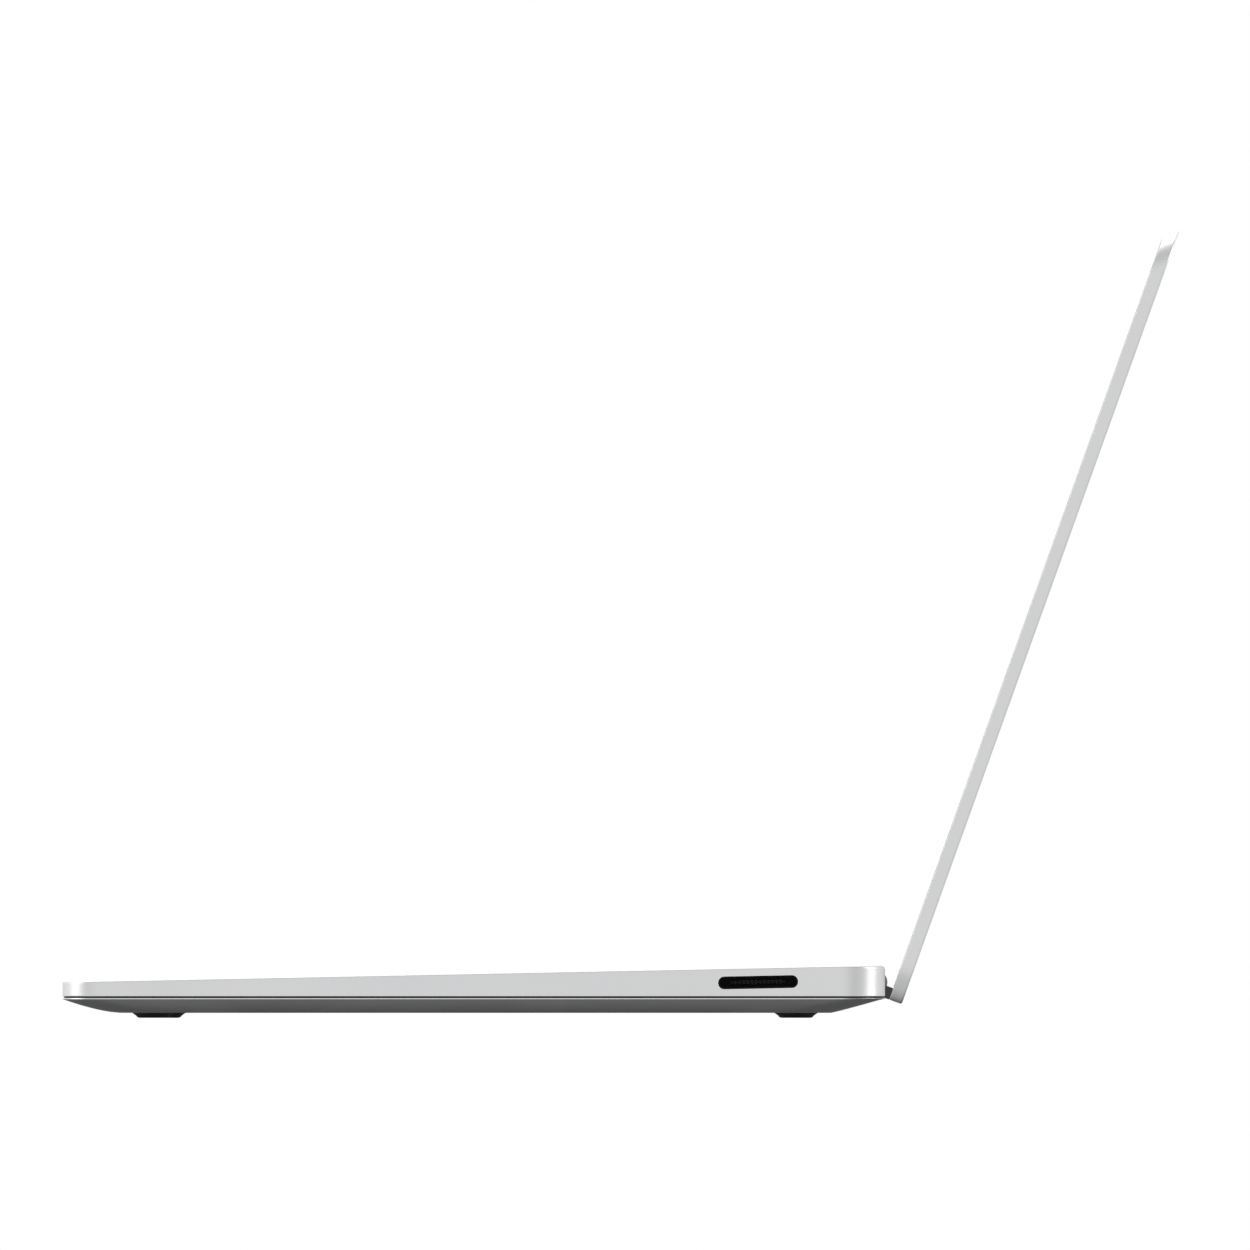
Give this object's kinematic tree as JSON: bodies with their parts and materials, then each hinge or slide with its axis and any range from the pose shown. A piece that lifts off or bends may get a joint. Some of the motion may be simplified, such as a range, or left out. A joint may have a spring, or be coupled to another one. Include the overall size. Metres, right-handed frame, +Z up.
{
  "type": "laptop computer",
  "caption": "Thin wedge-shaped laptop computer in silver aluminium, standing open, with a hinged lid, sprung keys, a clicking touchpad and a cooling fan inside.",
  "frame": {"origin": "centre of the base's footprint, on the plane of the feet", "axes": "+X to the user's right, +Y from the front edge to the hinge, +Z up"},
  "size_m": [0.301, 0.2987, 0.2105],
  "materials": {
    "shell": "fine bead-blasted and anodised, satin",
    "spine": "matt charcoal",
    "foot_rubber": "matt black",
    "key_cap": "matt, fine grain",
    "touchpad": "satin etched glass",
    "steel": "satin",
    "circuit_board": "solder mask",
    "black_plastic": "matt",
    "film": "satin film",
    "battery_film": "foil wrap",
    "copper": "satin copper",
    "fins": "mill finish",
    "port": "matt",
    "screen_glass": "polished",
    "panel": "gloss, switched off"
  },
  "bodies": {
    "base": {"top_case": "shell", "bottom_cover": "shell", "foot_front_left": "foot_rubber", "foot_front_right": "foot_rubber", "foot_rear_left": "foot_rubber", "foot_rear_right": "foot_rubber", "case_screws": "steel", "keyboard_plate": "steel", "keyboard_membrane": "film", "battery_cells": "battery_film", "mainboard": "circuit_board", "processor": "steel", "memory_chips": "black_plastic", "heat_pipe": "copper", "fin_stack": "fins", "fan_housing": "black_plastic", "ssd_card": "circuit_board", "speaker_left": "black_plastic", "speaker_right": "black_plastic", "charge_port": "port", "usb_c_front": "port", "usb_c_rear": "port", "usb_a_port": "port", "audio_jack": "port", "hinge_bracket_left": "steel", "hinge_bracket_right": "steel", "hinge_pin_left": "steel", "hinge_pin_right": "steel", "hinge_screws": "steel", "touchpad_frame": "steel", "touchpad_switch": "black_plastic", "display_cable": "film"},
    "lid": {"lid_cover": "shell", "display_panel": "panel", "cover_glass": "screen_glass", "lid_gasket": "foot_rubber", "camera_module": "black_plastic", "display_board": "circuit_board", "hinge_arm_left": "steel", "hinge_arm_right": "steel", "hinge_spine": "spine", "lid_screws": "steel"},
    "touchpad": {"touchpad_glass": "touchpad", "touchpad_board": "circuit_board"},
    "fan": {"fan_impeller": "black_plastic"},
    "keys_function": {"keys_function": "key_cap"},
    "keys_number": {"keys_number": "key_cap"},
    "key_backspace": {"key_backspace": "key_cap"},
    "key_tab": {"key_tab": "key_cap"},
    "keys_upper": {"keys_upper": "key_cap"},
    "key_backslash": {"key_backslash": "key_cap"},
    "key_caps": {"key_caps": "key_cap"},
    "keys_home": {"keys_home": "key_cap"},
    "key_enter": {"key_enter": "key_cap"},
    "key_shift_left": {"key_shift_left": "key_cap"},
    "keys_lower": {"keys_lower": "key_cap"},
    "key_shift_right": {"key_shift_right": "key_cap"},
    "keys_modifier": {"keys_modifier": "key_cap"},
    "key_space": {"key_space": "key_cap"},
    "keys_arrow": {"keys_arrow": "key_cap"}
  },
  "joints": [
    {"name": "lid_hinge", "type": "hinge", "parent": "base", "child": "lid", "pos_m": [0, 0.10764, 0.0096], "axis": [1, 0, 0], "range_deg": [-24, 110.9]},
    {"name": "keys_function_press", "type": "slide", "parent": "base", "child": "keys_function", "axis": [0, 0.0202, -0.9998], "range_m": [0, 0.0013], "stiffness_N_per_m": 6000, "springref_m": -0.0008},
    {"name": "keys_number_press", "type": "slide", "parent": "base", "child": "keys_number", "axis": [0, 0.0202, -0.9998], "range_m": [0, 0.0013], "stiffness_N_per_m": 5200, "springref_m": -0.0008},
    {"name": "key_backspace_press", "type": "slide", "parent": "base", "child": "key_backspace", "axis": [0, 0.0202, -0.9998], "range_m": [0, 0.0013], "stiffness_N_per_m": 400, "springref_m": -0.0008},
    {"name": "key_tab_press", "type": "slide", "parent": "base", "child": "key_tab", "axis": [0, 0.0202, -0.9998], "range_m": [0, 0.0013], "stiffness_N_per_m": 400, "springref_m": -0.0008},
    {"name": "keys_upper_press", "type": "slide", "parent": "base", "child": "keys_upper", "axis": [0, 0.0202, -0.9998], "range_m": [0, 0.0013], "stiffness_N_per_m": 4800, "springref_m": -0.0008},
    {"name": "key_backslash_press", "type": "slide", "parent": "base", "child": "key_backslash", "axis": [0, 0.0202, -0.9998], "range_m": [0, 0.0013], "stiffness_N_per_m": 400, "springref_m": -0.0008},
    {"name": "key_caps_press", "type": "slide", "parent": "base", "child": "key_caps", "axis": [0, 0.0202, -0.9998], "range_m": [0, 0.0013], "stiffness_N_per_m": 400, "springref_m": -0.0008},
    {"name": "keys_home_press", "type": "slide", "parent": "base", "child": "keys_home", "axis": [0, 0.0202, -0.9998], "range_m": [0, 0.0013], "stiffness_N_per_m": 4400, "springref_m": -0.0008},
    {"name": "key_enter_press", "type": "slide", "parent": "base", "child": "key_enter", "axis": [0, 0.0202, -0.9998], "range_m": [0, 0.0013], "stiffness_N_per_m": 400, "springref_m": -0.0008},
    {"name": "key_shift_left_press", "type": "slide", "parent": "base", "child": "key_shift_left", "axis": [0, 0.0202, -0.9998], "range_m": [0, 0.0013], "stiffness_N_per_m": 400, "springref_m": -0.0008},
    {"name": "keys_lower_press", "type": "slide", "parent": "base", "child": "keys_lower", "axis": [0, 0.0202, -0.9998], "range_m": [0, 0.0013], "stiffness_N_per_m": 4000, "springref_m": -0.0008},
    {"name": "key_shift_right_press", "type": "slide", "parent": "base", "child": "key_shift_right", "axis": [0, 0.0202, -0.9998], "range_m": [0, 0.0013], "stiffness_N_per_m": 400, "springref_m": -0.0008},
    {"name": "keys_modifier_press", "type": "slide", "parent": "base", "child": "keys_modifier", "axis": [0, 0.0202, -0.9998], "range_m": [0, 0.0013], "stiffness_N_per_m": 2400, "springref_m": -0.0008},
    {"name": "key_space_press", "type": "slide", "parent": "base", "child": "key_space", "axis": [0, 0.0202, -0.9998], "range_m": [0, 0.0013], "stiffness_N_per_m": 400, "springref_m": -0.0008},
    {"name": "keys_arrow_press", "type": "slide", "parent": "base", "child": "keys_arrow", "axis": [0, 0.0202, -0.9998], "range_m": [0, 0.0013], "stiffness_N_per_m": 1600, "springref_m": -0.0008},
    {"name": "touchpad_click", "type": "hinge", "parent": "base", "child": "touchpad", "pos_m": [0, -0.021, 0.0104], "axis": [1, 0, 0], "range_deg": [0, 0.36], "stiffness_Nm_per_rad": 20, "springref_deg": -0.34},
    {"name": "fan_spin", "type": "hinge", "parent": "base", "child": "fan", "pos_m": [0.058, 0.047, 0.0045], "axis": [0, 0, 1], "continuous": true}
  ]
}
